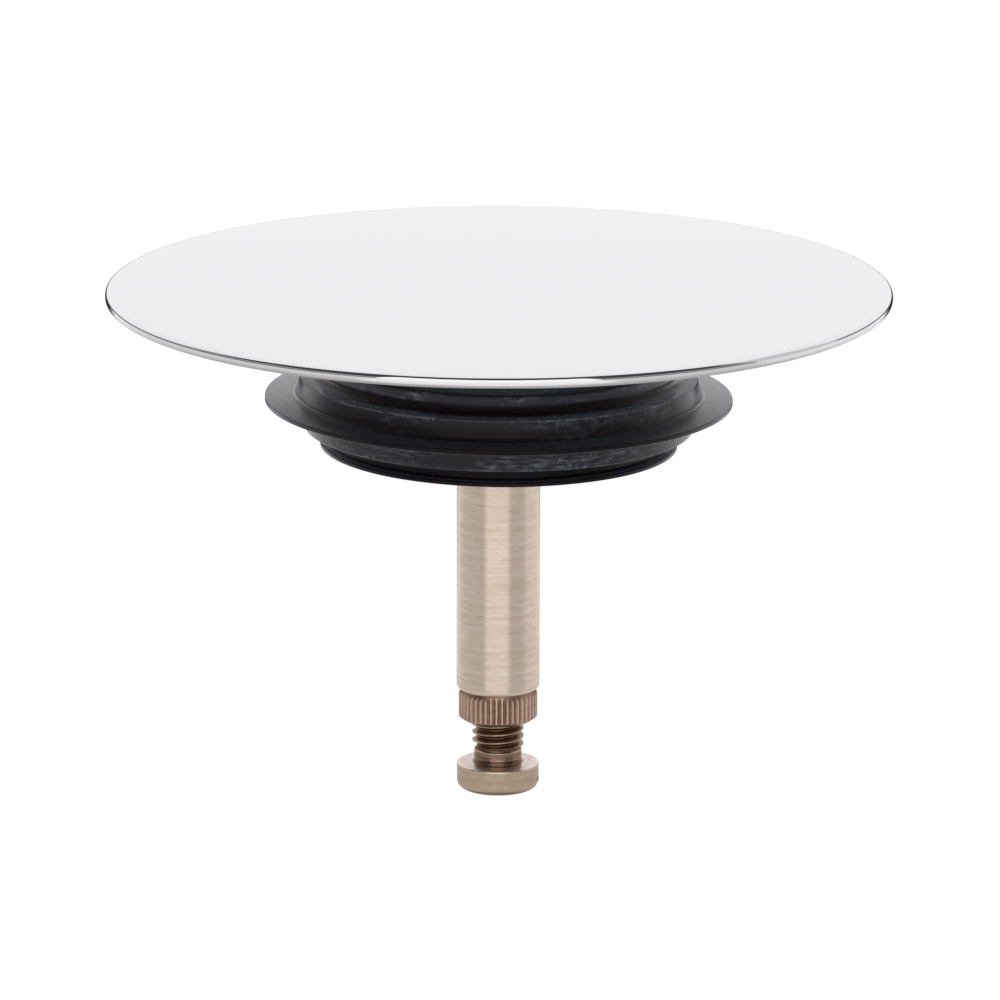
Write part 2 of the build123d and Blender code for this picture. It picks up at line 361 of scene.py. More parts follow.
def mixLevels(tree, column, row, factor, first, second):
    node = addNode(tree, "ShaderNodeMix", column, row, data_type="FLOAT")
    feed(tree, node.inputs["A"], first)
    feed(tree, node.inputs["B"], second)
    tree.links.new(factor, node.inputs["Factor"])
    return node.outputs["Result"]


def addBump(tree, column, row, height, depth, strength=1.0):
    bump = addNode(tree, "ShaderNodeBump", column, row, {"Distance": depth * mm, "Strength": strength})
    tree.links.new(height, bump.inputs["Height"])
    return bump.outputs["Normal"]


def readAttribute(tree, column, row, name):
    return addNode(tree, "ShaderNodeAttribute", column, row, attribute_name=name).outputs["Fac"]


def grey(level):
    return (level, level, level, 1)


def addRamp(tree, column, row, factor, stops):  # stops are (place from 0 to 1, level or colour)
    ramp = addNode(tree, "ShaderNodeValToRGB", column, row)
    elements = ramp.color_ramp.elements
    while len(elements) < len(stops):
        elements.new(1.0)
    for element, (at, level) in zip(elements, stops):
        element.position = at
        element.color = (*level, 1) if isinstance(level, tuple) else grey(level)
    tree.links.new(factor, ramp.inputs[0])
    return ramp.outputs["Color"]


# In these dictionaries a plural such as marks or stains is the range of noise over which that mark fades in.

chromeLook = {
    "color": (0.80, 0.79, 0.81), "roughness": (0.02, 0.035),
    "smudgeScale": 60.0, "smudges": (0.35, 0.7),  # per metre
    "undersideAndRimShade": (0.46, 0.44, 0.41), "underRoughness": 0.28, "underDepth": 0.012,
    "underRings": (0.05, 2.2), "underNoise": {"detail": 3.0, "roughness": 0.6},
    "underFacing": (-0.1, -0.8),  # how far down a face looks where that finish begins and is complete. It begins on faces that barely look down, so its darker colour is also painted shade on the rim's lower rounding.
}


def chromeMaterial():
    look = chromeLook
    material, tree, shader = newMaterial("polished chrome")
    normal = addNode(tree, "ShaderNodeTexCoord", -8, 5).outputs["Normal"]
    facingDown = remap(tree, -5, 5, splitAxes(tree, -7, 5, normal)[2], look["underFacing"])
    # The underside's darker satin colour, which is also painted shade on the rim's lower rounding.
    color = mixColors(tree, -1, 0, facingDown, look["color"], look["undersideAndRimShade"])
    tree.links.new(color, shader.inputs["Base Color"])
    smudge = addNoise(tree, -4, 2, objectPlace(tree, -6, 6), look["smudgeScale"])
    polish = remap(tree, -3, 2, smudge, look["smudges"], look["roughness"])
    dull = mixLevels(tree, -2, 2, facingDown, polish, look["underRoughness"])
    tree.links.new(dull, shader.inputs["Roughness"])
    rings = ringCoordinates(tree, *look["underRings"])[0]
    turned = addMath(tree, "MULTIPLY", -3, 4, addNoise(tree, -4, 4, rings, 1.0, **look["underNoise"]), facingDown)
    tree.links.new(addBump(tree, -2, 4, turned, look["underDepth"]), shader.inputs["Normal"])
    shader.inputs["Metallic"].default_value = 1.0
    return material


def brassMaterial(name, look):
    material, tree, shader = newMaterial(name)
    short, place, radius = ringCoordinates(tree, look["around"], look["along"])
    full = ringCoordinates(tree, look["around"] * look["ringStretch"], look["along"] * look["ringWidth"])[0]
    shortMarks = addNoise(tree, -5, 0, short, 1.0, **look["markNoise"])
    fullMarks = addNoise(tree, -5, 1, full, 1.0, **look["markNoise"])
    both = addMath(tree, "ADD", -4, 0, shortMarks, fullMarks)
    marks = remap(tree, -3, 2, both, look["marks"])
    blotches = addNoise(tree, -4, 1, objectPlace(tree, -6, 6), look["stainScale"] / mm, look["stainDetail"])
    tone = mixColors(tree, -3, 0, marks, look["dark"], look["light"])
    if "shank" in look:  # painted shade makes the thread and the neck darker than the head, and painted light makes its upper face paler
        depth = remap(tree, -5, 8, radius, [at * mm for at in look["shankRadii"]])
        shank = addRamp(tree, -4, 8, depth, look["shank"])
        above = remap(tree, -4, 9, place[2], [at * mm for at in look["shankFoot"]])
        tone = mixColors(tree, -2, 8, above, tone, shank)
    stained = remap(tree, -3, 3, blotches, look["stains"], (0.0, look["stainShare"]))
    tone = mixColors(tree, -2, 0, stained, tone, look["stain"])
    edge = readAttribute(tree, -4, 5, "edge")
    # Outer roundings are paler: worn brass, and painted glints on the knurl's tips.
    worn = remap(tree, -3, 5, edge, (look["wearAndGlintFrom"], 1.0), (0.0, look["wearAndGlintShare"]))
    tone = mixColors(tree, -1, 0, worn, tone, look["wearAndGlint"])
    # Inner roundings and the knurl's valleys are darker.
    innerRoundDark = remap(tree, -3, 6, edge, (0.0, -1.0), (0.0, look["innerRoundShare"]))
    tone = mixColors(tree, -1, 1, innerRoundDark, tone, look["innerRoundColor"])
    tree.links.new(tone, shader.inputs["Base Color"])
    tree.links.new(remap(tree, -2, 3, marks, (0.0, 1.0), look["roughness"]), shader.inputs["Roughness"])
    tree.links.new(addBump(tree, -2, 4, both, look["markDepth"]), shader.inputs["Normal"])
    shader.inputs["Metallic"].default_value = 1.0
    if look["anisotropy"]:  # the turning marks spread a reflection along the axis
        shader.inputs["Anisotropic"].default_value = look["anisotropy"]
        shader.inputs["Anisotropic Rotation"].default_value = look["anisotropyTurn"]
        tangent = addNode(tree, "ShaderNodeTangent", -2, 6, direction_type="RADIAL", axis="Z")
        tree.links.new(tangent.outputs[0], shader.inputs["Tangent"])
    return material


brass = {
    "light": (0.90, 0.76, 0.64), "dark": (0.69, 0.56, 0.455),
    "stain": (0.60, 0.46, 0.34), "stainShare": 0.15,
    "stainScale": 0.25, "stainDetail": 3.0, "stains": (0.45, 0.75),
    "wearAndGlint": (0.92, 0.83, 0.72), "wearAndGlintShare": 0.5, "wearAndGlintFrom": 0.2,
    "innerRoundColor": (0.16, 0.10, 0.06), "innerRoundShare": 0.8,
    "around": 0.75, "along": 3.4, "ringStretch": 0.06, "ringWidth": 0.5,
    "markNoise": {"detail": 2.0, "roughness": 0.6}, "marks": (0.72, 1.28), "markDepth": 0.004,
    "roughness": (0.28, 0.36), "anisotropy": 0.9, "anisotropyTurn": 0.25,
}
nutLook = {
    **brass,
    "light": (0.56, 0.38, 0.28), "dark": (0.41, 0.265, 0.195),
    "stain": (0.26, 0.15, 0.10), "stainShare": 0.5, "stainScale": 0.6,
    "wearAndGlint": (0.76, 0.60, 0.49), "wearAndGlintShare": 0.7, "wearAndGlintFrom": 0.75,
    "innerRoundColor": (0.13, 0.07, 0.05), "innerRoundShare": 0.9,
    "roughness": (0.25, 0.4), "anisotropy": 0.0,
}
screwLook = {
    **brass,
    "light": (0.61, 0.48, 0.355), "dark": (0.49, 0.375, 0.265),
    "stain": (0.38, 0.26, 0.17), "stainShare": 0.4, "stainScale": 0.4,
    "roughness": (0.25, 0.38), "anisotropy": 0.0,
    "shankRadii": (2.0, 3.0), "shankFoot": (-35.98, -35.86),
    "shank": [  # shares of the way from the first radius to the second. The last is the head's upper face. Painted shade darkens the first stops, in the thread, and painted light makes the last one pale.
        (0.0, (0.08, 0.035, 0.02)), (0.175, (0.20, 0.11, 0.07)), (0.4, (0.32, 0.22, 0.155)),
        (0.475, (0.50, 0.38, 0.31)), (0.6, (0.68, 0.59, 0.54)),
    ],
}
innerLook = {
    **brass,
    "light": (0.74, 0.59, 0.38), "dark": (0.63, 0.48, 0.29),
    "around": 0.06, "along": 3.0, "ringStretch": 1.0, "anisotropy": 0.0,
}


rubberLook = {
    "base": (0.009, 0.006, 0.008), "warm": (0.011, 0.004, 0.004), "warmths": (0.4, 0.55),
    "patchRings": (0.09, 0.4), "patchNoise": {"detail": 2.0, "roughness": 0.6}, "patches": (0.42, 0.62),
    "scuffRings": (0.7, 3.6), "scuffNoise": {"detail": 3.0, "roughness": 0.65},
    "scuffs": (0.45, 0.72), "scuff": 0.75,
    "crumbScale": 1.7, "crumbNoise": {"detail": 2.0, "roughness": 0.6}, "crumbs": (0.6, 0.7), "crumb": 0.6,
    # A pale chalk colour, also used for painted light.
    "chalkAndLight": (0.20, 0.225, 0.28), "film": 0.13,
    "chalkAndLightFrom": -5.0, "chalkAndLightTo": 5.0,  # the shares of chalk and painted light are given for heights between these
    # Chalk by height. The peak at 2.4 to 2.5 is a painted highlight along the shoulder's top edge, and 3.35 to
    # 4.4 is a pale band on the neck that is painted reflection as well as chalk.
    "chalkAndLightShare": [
        (-4.85, 0.5), (-4.5, 0.04), (-2.53, 0.0), (-2.46, 1.5), (-2.3, 1.0), (-0.9, 0.9), (-0.3, 0.05),
        (0.45, 0.05), (0.62, 0.2), (1.2, 0.3), (1.7, 0.8), (2.3, 1.1), (2.4, 3.0), (2.5, 3.0), (2.56, 0.3),
        (2.8, 0.0), (3.35, 0.1), (3.6, 1.9), (4.0, 2.1), (4.2, 1.2), (4.4, 0.3),
    ],
    # A painted sheen: a pale bluish colour at the two sides that stands in for the aslant reflection seen
    # there.
    "paintedSheen": (0.12, 0.155, 0.22), "paintedSheenFrom": 15.5, "paintedSheenTo": 20.5, "paintedSheenShare": 0.7,  # at the two sides
    "tint": (0.06, 0.05, 0.06), "coat": 0.5, "coatIor": 1.25, "coatRoughness": 0.25,  # bright only aslant
    "sheen": 0.25, "sheenTint": (0.5, 0.7, 1.0), "sheenRoughness": 0.3,
    "roughness": (0.16, 0.28), "polishes": (0.3, 0.7),
    "grainScale": 7.0, "grainDetail": 3.0, "grainDepth": 0.004, "grainStrength": 0.6,
}


def rubberMaterial():
    look = rubberLook
    material, tree, shader = newMaterial("moulded rubber")
    wide, place = ringCoordinates(tree, *look["patchRings"])[:2]
    fine = ringCoordinates(tree, *look["scuffRings"])[0]
    patches = addNoise(tree, -4, 0, wide, 1.0, **look["patchNoise"])
    scuffs = addNoise(tree, -4, 1, fine, 1.0, **look["scuffNoise"])
    spots = objectPlace(tree, -6, 7)
    crumbs = addNoise(tree, -4, 2, spots, look["crumbScale"] / mm, **look["crumbNoise"])
    patch = remap(tree, -3, 0, patches, look["patches"])
    streak = remap(tree, -3, 1, scuffs, look["scuffs"], (0.0, look["scuff"]))
    crumb = remap(tree, -3, 2, crumbs, look["crumbs"], (0.0, look["crumb"]))
    marks = addMath(tree, "MULTIPLY", -2, 1, patch, addMath(tree, "ADD", -2, 2, streak, crumb))
    chalkAndLightRange = (look["chalkAndLightFrom"], look["chalkAndLightTo"])
    height = remap(tree, -4, 8, readAttribute(tree, -5, 8, "height"), chalkAndLightRange)
    span = look["chalkAndLightTo"] - look["chalkAndLightFrom"]
    stops = [((at - look["chalkAndLightFrom"]) / span, level) for at, level in look["chalkAndLightShare"]]
    share = addRamp(tree, -3, 8, height, stops)
    # Chalk, and painted light where the shares peak, mixed in by height.
    amount = addMath(tree, "MULTIPLY", -1, 2, addMath(tree, "ADD", -1, 1, marks, look["film"]), share)
    tone = mixColors(tree, -2, 0, remap(tree, -3, 3, patches, look["warmths"]), look["warm"], look["base"])
    chalkedAndLit = mixColors(tree, -1, 0, amount, tone, look["chalkAndLight"])
    # Painted sheen, which grows towards the two sides along x.
    aside = addMath(tree, "ABSOLUTE", -5, 9, place[0])
    side = remap(tree, -4, 9, aside, (look["paintedSheenFrom"] * mm, look["paintedSheenTo"] * mm))
    paintedSheenAmount = addMath(tree, "MULTIPLY", -2, 9, addMath(tree, "MULTIPLY", -3, 9, side, side), look["paintedSheenShare"])
    tree.links.new(mixColors(tree, -1, 9, paintedSheenAmount, chalkedAndLit, look["paintedSheen"]), shader.inputs["Base Color"])
    polish = remap(tree, -2, 3, scuffs, look["polishes"], look["roughness"])
    tree.links.new(polish, shader.inputs["Roughness"])
    grain = addNoise(tree, -4, 4, spots, look["grainScale"] / mm, look["grainDetail"])
    bump = addBump(tree, -2, 4, grain, look["grainDepth"], look["grainStrength"])
    tree.links.new(bump, shader.inputs["Normal"])
    shader.inputs["Coat Weight"].default_value = look["coat"]
    shader.inputs["Coat IOR"].default_value = look["coatIor"]
    shader.inputs["Coat Roughness"].default_value = look["coatRoughness"]
    shader.inputs["Specular Tint"].default_value = (*look["tint"], 1)
    shader.inputs["Sheen Weight"].default_value = look["sheen"]
    shader.inputs["Sheen Tint"].default_value = (*look["sheenTint"], 1)
    shader.inputs["Sheen Roughness"].default_value = look["sheenRoughness"]
    return material


plasticLook = {
    "base": (0.022, 0.022, 0.025), "worn": (0.05, 0.05, 0.055), "wears": (0.4, 0.8),
    "roughness": (0.4, 0.55), "polishes": (0.3, 0.7),
    "grainScale": 5.0, "grainDetail": 4.0, "grainDepth": 0.02,
}


def plasticMaterial():
    look = plasticLook
    material, tree, shader = newMaterial("moulded plastic")
    grain = addNoise(tree, -4, 0, objectPlace(tree, -6, 0), look["grainScale"] / mm, look["grainDetail"])
    color = mixColors(tree, -1, 0, remap(tree, -3, 0, grain, look["wears"]), look["base"], look["worn"])
    tree.links.new(color, shader.inputs["Base Color"])
    tree.links.new(remap(tree, -3, 2, grain, look["polishes"], look["roughness"]), shader.inputs["Roughness"])
    tree.links.new(addBump(tree, -2, 4, grain, look["grainDepth"]), shader.inputs["Normal"])
    return material


# Pieces

cover = {"crown": 0.9, "thickness": 1.15, "topRound": 0.5, "bottomRound": 0.55, "rings": 24, "segments": 384}


def coverPlate():
    size = cover
    radius, top = plateHigh.x, plateHigh.z
    rimBottom = top - size["crown"] - size["thickness"]
    dome = (radius ** 2 + size["crown"] ** 2) / (2 * size["crown"])

    def underside(at):
        return rimBottom + size["crown"] - dome + math.sqrt(dome ** 2 - at ** 2)

    steps = [radius * step / size["rings"] for step in range(size["rings"])]
    rim = underside(radius)
    corners = [(at, underside(at), 0) for at in steps]
    corners += [(radius, rim, size["bottomRound"]), (radius, rim + size["thickness"], size["topRound"])]
    corners += [(at, underside(at) + size["thickness"], 0) for at in reversed(steps)]
    outline = outlineMesh("cover outline", roundOutline(corners, False), False)
    inputs = {"Segments": size["segments"], "Material": chromeMaterial()}
    piece = runTree("chrome_cover", outline, turnedPiece, inputs)
    faceOutwards(piece)
    return piece


seal = {
    "bore": 12.55, "recess": 14.7, "recessDepth": 1.15, "groove": 15.9, "grooveRound": 0.3,
    "lowerLip": 17.1, "lowerLipThickness": 0.4,
    "tier": 18.6, "tierHeight": 2.5, "tierDraft": 0.4, "tierRound": 0.12,
    "lipDrop": 0.25, "lipEdge": 0.45, "lipRise": 0.17, "lipRootRound": 0.5, "lipRound": 0.1,
    "shoulder": 19.0, "shoulderFoot": 19.4, "shoulderHeight": 1.88, "shoulderRound": 0.06,
    "neck": 16.9, "topRound": 0.2, "cove": 1.0,
    "segments": 360, "ripple": 0.05, "rippleScale": 120.0, "seed": 3.0, "lean": 0.51,
}


def rubberSeal():
    size = seal
    bottom, top = sealLow.z, sealHigh.z
    recessTop = bottom + size["recessDepth"]
    lipTop = bottom + size["lowerLipThickness"]
    foot = size["lipEdge"] + size["lipRise"]
    shoulderTop = foot + size["shoulderHeight"]
    corners = [
        (size["bore"], recessTop, 0),
        (size["recess"], recessTop, 0),
        (size["recess"], bottom, size["lipRound"]),
        (size["lowerLip"], bottom, size["lipRound"]),
        (size["lowerLip"], lipTop, size["lipRound"]),
        (size["groove"], lipTop, size["grooveRound"]),
        (size["groove"], -size["tierHeight"], size["grooveRound"]),
        (size["tier"], -size["tierHeight"], size["tierRound"]),
        (size["tier"] + size["tierDraft"], -size["lipDrop"], size["grooveRound"]),
        (sealHigh.x, 0, size["lipRound"]),
        (sealHigh.x, size["lipEdge"], size["lipRound"]),
        (size["shoulderFoot"], foot, size["lipRootRound"]),
        (size["shoulder"], shoulderTop, size["shoulderRound"]),
        (size["neck"], shoulderTop, size["cove"]),
        (size["neck"], top, size["topRound"]),
        (size["bore"], top, 0),
    ]
    outline = outlineMesh("seal outline", roundOutline(corners, True), True)
    inputs = {
        "Segments": size["segments"], "Ripple": size["ripple"] * mm, "Ripple Scale": size["rippleScale"],
        "Seed": size["seed"], "Material": rubberMaterial(),
    }
    piece = runTree("rubber_seal", outline, turnedPiece, inputs)
    setAttribute(piece.data, "height", [vert.co.z / mm for vert in piece.data.vertices])
    lean = math.tan(math.radians(size["lean"]))
    for vert in piece.data.vertices:  # the seal sits a little low at +X, past the carrier that holds its bore
        radius = vert.co.xy.length / mm
        share = min(max((radius - size["bore"]) / (size["neck"] - size["bore"]), 0), 1)
        vert.co.z -= vert.co.x * lean * share
    faceOutwards(piece)
    return piece


stem = {
    "shoulder": -4.0, "spigot": 3.0, "spigotBevel": 0.5,
    "endBevel": 0.13, "endBevelHeight": 0.28, "endRound": 0.1,
    "bore": 2.535, "holeDepth": 14.17, "entry": 0.3,
    "segments": 144, "sharpAngle": 40,
}


def turnedStem():
    size = stem
    radius, bottom, top = stemHigh.x, stemLow.z, stemHigh.z
    holeTop = bottom + size["holeDepth"]
    corners = [
        (0, holeTop, 0),
        (size["bore"], holeTop, 0),
        (size["bore"], bottom + size["entry"], 0),
        (size["bore"] + size["entry"], bottom, 0),
        (radius - size["endBevel"], bottom, size["endRound"]),
        (radius, bottom + size["endBevelHeight"], size["endRound"]),
        (radius, size["shoulder"], size["endRound"]),
        (size["spigot"], size["shoulder"], 0),
        (size["spigot"], top - size["spigotBevel"], 0),
        (size["spigot"] - size["spigotBevel"], top, 0),
        (0, top, 0),
    ]
    outline = outlineMesh("stem outline", roundOutline(corners, False), False)
    inputs = {"Segments": size["segments"], "Material": brassMaterial("stem brass", brass)}
    piece = runTree("turned_stem", outline, turnedPiece, inputs)
    faceOutwards(piece, math.inf, size["sharpAngle"])
    return piece


nut = {
    "knurls": 43, "depth": 0.18, "bore": 2.535, "sharpAngle": 25,
    "topBevel": 0.3, "topBevelHeight": 0.6, "bottomBevel": 0.6, "bottomBevelHeight": 0.4, "bevelEdge": 0.5,
    "flank": [  # across a knurl: shares of its turn and of its height, and how much of an edge it is there
        (-0.5, 0.0, 0.0), (-0.42, 0.04, -0.92), (-0.16, 0.84, 0.68), (-0.08, 1.0, 1.0),
        (0.08, 1.0, 1.0), (0.16, 0.84, 0.68), (0.42, 0.04, -0.92), (0.5, 0.0, 0.0),
    ],
}


def knurledNut():
    size = nut
    radius, bottom, top = nutHigh.y, nutLow.z, nutHigh.z
    rows = []
    for turnShare, heightShare, edge in size["flank"]:
        angle = math.tau / size["knurls"] * turnShare
        cut = size["depth"] * (1 - heightShare)
        low = bottom + size["bottomBevelHeight"] * (1 - cut / size["bottomBevel"])
        high = top - size["topBevelHeight"] * (1 - cut / size["topBevel"])
        outline = [
            (size["bore"], bottom, 0),
            (radius - size["bottomBevel"], bottom, size["bevelEdge"]),
            (radius - cut, low, edge),
            (radius - cut, high, edge),
            (radius - size["topBevel"], top, size["bevelEdge"]),
            (size["bore"], top, 0),
        ]
        x, y = math.cos(angle), math.sin(angle)
        rows.append([(at * x, at * y, height, worn) for at, height, worn in outline])
    perRow = len(rows[0])
    points = [point for row in rows for point in row]
    faces = []
    for first in range(0, len(points) - perRow, perRow):
        for index in range(perRow):
            after = (index + 1) % perRow
            faces.append((first + index, first + after, first + perRow + after, first + perRow + index))
    sector = bpy.data.meshes.new("nut sector")
    sector.from_pydata([tuple(c * mm for c in point[:3]) for point in points], [], faces)
    setAttribute(sector, "edge", [point[3] for point in points])
    inputs = {"Count": size["knurls"], "Material": brassMaterial("nut brass", nutLook)}
    piece = runTree("knurled_nut", sector, repeatedPiece, inputs)
    faceOutwards(piece, math.inf, size["sharpAngle"])
    return piece


screw = {
    "pitch": 0.8, "crest": 0.1, "flank": 0.28, "depth": 0.485, "core": 2.0, "tipBevel": 0.5, "runOut": 0.2,
    "threadTurn": 0.25, "rowsPerTurn": 20,
    "neck": 2.285, "neckLength": 1.58, "neckRoot": 0.08, "neckTaper": 0.3,
    "ridge": 0.035, "ridgeAt": 0.55, "ridgeReach": 0.07, "ridgeRound": 0.0175,
    "headHeight": 2.57, "headTopRound": 0.2, "headBottomRound": 0.8,
    "slotWidth": 1.2, "slotDepth": 1.2, "slotTurn": -8, "slotRun": 12,
    "segments": 96, "sharpAngle": 40,
}


def slottedScrew():
    size = screw
    radius, foot, tip = screwHigh.x, screwLow.z, screwHigh.z
    headTop = foot + size["headHeight"]
    ridgeAt = headTop + size["ridgeAt"]
    start = headTop + size["neckLength"]
    rows = int((tip - start) / size["pitch"] * size["rowsPerTurn"])
    corners = [
        (0, foot, 0),
        (radius, foot, size["headBottomRound"]),
        (radius, headTop, size["headTopRound"]),
        (size["neck"], headTop, size["neckRoot"]),
        (size["neck"], ridgeAt - size["ridgeReach"], 0),
        (size["neck"] + size["ridge"], ridgeAt, size["ridgeRound"]),
        (size["neck"], ridgeAt + size["ridgeReach"], 0),
        (size["neck"], start - size["neckTaper"], size["neckRoot"]),
    ]
    corners += [(size["core"], start + (tip - start) * row / rows, 0) for row in range(rows + 1)]
    corners.append((0, tip, 0))
    unworn = foot + size["headBottomRound"]  # the rounding under the head is too soft to wear or to take the painted glint
    points = roundOutline(corners, False)
    points = [(at, height, 0.0 if height < unworn else edge) for at, height, edge in points]
    outline = outlineMesh("screw outline", points, False)
    lengths = {
        "Core": size["core"], "Pitch": size["pitch"], "Depth": size["depth"], "Crest": size["crest"],
        "Flank": size["flank"], "Bevel": size["tipBevel"], "Run Out": size["runOut"],
        "Start": start, "Tip": tip,
    }
    inputs = {label: length * mm for label, length in lengths.items()}
    inputs.update({"Segments": size["segments"], "Turn": size["threadTurn"]})
    inputs["Material"] = brassMaterial("screw brass", screwLook)
    piece = runTree("slotted_screw", outline, threadedPiece, inputs)
    cutSlot(piece, foot)
    faceOutwards(piece, headTop - size["headTopRound"], size["sharpAngle"])
    return piece


def cutSlot(piece, foot):
    shape = bmesh.new()
    bmesh.ops.create_cube(shape, size=1.0)
    extent = Vector((screw["slotRun"], screw["slotWidth"], 2 * screw["slotDepth"])) * mm
    turn = Matrix.Rotation(math.radians(screw["slotTurn"]), 3, "Z")
    bmesh.ops.scale(shape, vec=extent, verts=shape.verts)
    bmesh.ops.rotate(shape, matrix=turn, verts=shape.verts)
    bmesh.ops.translate(shape, vec=(0, 0, foot * mm), verts=shape.verts)
    cutter = bpy.data.objects.new("slot cutter", bpy.data.meshes.new("slot cutter"))
    shape.to_mesh(cutter.data)
    shape.free()
    bpy.context.scene.collection.objects.link(cutter)
    cut = piece.modifiers.new("slot", "BOOLEAN")
    cut.operation = "DIFFERENCE"
    cut.object = cutter
    applyModifiers(piece)
    bpy.data.objects.remove(cutter)


def place(piece, body, node, slot):
    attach(piece, body)
    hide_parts(node)


place(coverPlate(), "stopper", "cover_plate", "cover_chrome")
place(rubberSeal(), "stopper", "profile_seal", "seal_rubber")
place(turnedStem(), "stopper", "stem", "stem_brass")
place(knurledNut(), "lock_nut", "lock_nut", "nut_brass")
place(slottedScrew(), "adjusting_screw", "adjusting_screw", "screw_brass")

innerMaterials = {
    "seal_carrier": plasticMaterial(),
    "threaded_boss": brassMaterial("boss brass", innerLook),
    "retaining_washer": brassMaterial("washer brass", innerLook),
}
for name, material in innerMaterials.items():
    nodes[name].data.materials[0] = material
print("pieces placed")


# Studio

# Angles go round the object from its front, positive to the right, and up from the horizon. Distances on the
# floor are millimetres from the axis.
halfTurn = 180
studio = {
    "softbox": {"size": (0.5, 0.7), "place": (-0.25, -0.75, 0.75), "level": 0.5, "powerPerArea": 4},  # metres
    "window": {"left": -35, "right": 29, "top": 46, "soft": 2, "level": 1.15},
    "card": {"left": 79, "right": 114, "top": 44, "soft": 2, "level": 0.66},
    "sweep": {
        "front": 91, "soft": 5, "level": 1.0,
        "lowest": -10, "span": 100,  # the foot's heights lie in this span
        "foot": [(0, 90), (86, 70), (92, 46), (98, 30), (111, 16), (125, 10), (140, 5), (155, 0), (180, -4)],
    },
    "dark": 0.06,
    "haze": {"low": 6.5, "high": 23, "soft": 4, "level": 0.36},  # a paler band above the horizon, in the gaps
    "floor": {
        "drop": 8.1,  # below the foot at rest, which leaves room for the screw at its longest
        "size": 12.0,  # metres
        # Among these are the level of a painted shadow under the foot, in what metal sees of the floor, and
        # the distances over which it fades.
        "shadow": 0.12, "lit": 0.5, "paint": 0.8, "paintedFootShadow": 0.3, "paintedShadowReach": (5.0, 12.0),
        "near": 0.72, "nearEnd": 62, "farStart": 90,
        "gap": 0.04, "gapFrom": 147, "gapTo": 212, "gapSide": (142, 152),
        "panels": [
            (-180, 1.0), (-140, 0.9), (-112, 0.74), (-39, 0.72), (-34, 1.0), (28, 1.0), (33, 0.7), (74, 0.7),
            (80, 0.86), (140, 0.95), (180, 1.0),
        ],
    },
}


def degrees(tree, column, row, radians):
    return addMath(tree, "MULTIPLY", column, row, radians, math.degrees(1))


def softStep(tree, column, row, value, start, end):  # rises from 0 at start to 1 at end
    ends = {"From Min": start, "From Max": end}
    node = addNode(tree, "ShaderNodeMapRange", column, row, ends, interpolation_type="SMOOTHSTEP")
    tree.links.new(value, node.inputs["Value"])
    return node.outputs["Result"]


def softRange(tree, column, row, value, low, high, soft):
    rise = softStep(tree, column, row, value, low - soft / 2, low + soft / 2)
    fall = softStep(tree, column, row + 1, value, high + soft / 2, high - soft / 2)
    return addMath(tree, "MULTIPLY", column + 1, row, rise, fall)


# A white sweep behind and overhead, a window in front and a card at the right. The gaps between them are
# dark, and less so just above the horizon.
def studioWorld():
    world = bpy.data.worlds.new("studio")
    bpy.context.scene.world = world
    world.use_nodes = True
    tree = world.node_tree
    background = tree.nodes["Background"]
    x, y, z = splitAxes(tree, -12, 0, addNode(tree, "ShaderNodeTexCoord", -13, 0).outputs["Generated"])
    toFront = addMath(tree, "MULTIPLY", -11, 1, y, -1.0)
    turn = degrees(tree, -9, 0, addMath(tree, "ARCTAN2", -10, 0, x, toFront))
    side = addMath(tree, "ABSOLUTE", -8, 0, turn)
    rise = degrees(tree, -9, 2, addMath(tree, "ARCSINE", -10, 2, z))
    pitch = degrees(tree, -9, 3, addMath(tree, "ARCTAN2", -10, 3, z, toFront))
    size = studio["sweep"]
    stops = [(at / halfTurn, (height - size["lowest"]) / size["span"]) for at, height in size["foot"]]
    foot = addRamp(tree, -7, 0, addMath(tree, "DIVIDE", -8, 1, side, halfTurn), stops)
    spanned = addMath(tree, "MULTIPLY", -6, 0, foot, size["span"])
    footRise = addMath(tree, "ADD", -6, 1, spanned, size["lowest"])
    aboveFoot = addMath(tree, "SUBTRACT", -5, 0, rise, footRise)
    overhead = softStep(tree, -5, 3, pitch, size["front"] - size["soft"], size["front"] + size["soft"])
    sweep = addMath(tree, "MULTIPLY", -4, 0, softStep(tree, -5, 1, aboveFoot, 0, size["soft"]), overhead)
    haze = studio["haze"]
    hazy = softRange(tree, -6, -2, rise, haze["low"], haze["high"], haze["soft"])
    gap = mixLevels(tree, -4, -2, hazy, studio["dark"], haze["level"])
    level = mixLevels(tree, -3, 0, sweep, gap, size["level"])
    for index, name in enumerate(("window", "card")):
        size = studio[name]
        row = 5 + 3 * index
        wide = softRange(tree, -6, row, turn, size["left"], size["right"], size["soft"])
        high = softStep(tree, -6, row + 2, rise, size["top"] + size["soft"], size["top"] - size["soft"])
        panel = addMath(tree, "MULTIPLY", -4, row, wide, high)
        level = mixLevels(tree, -2 + index, 0, panel, level, size["level"])
    camera = addNode(tree, "ShaderNodeLightPath", -1, 3).outputs["Is Camera Ray"]
    tree.links.new(mixLevels(tree, 0, 1, camera, level, 1.0), background.inputs["Color"])


def studioSoftbox():
    size = studio["softbox"]
    light = bpy.data.lights.new("softbox", "AREA")
    light.shape = "RECTANGLE"
    light.size, light.size_y = size["size"]
    place = Vector(size["place"])
    light.energy = size["powerPerArea"] * light.size * light.size_y * size["level"] * place.length_squared
    softbox = bpy.data.objects.new("softbox", light)
    softbox.location = place
    softbox.rotation_euler = place.to_track_quat("Z", "Y").to_euler()
    softbox.visible_glossy = False
    bpy.context.scene.collection.objects.link(softbox)


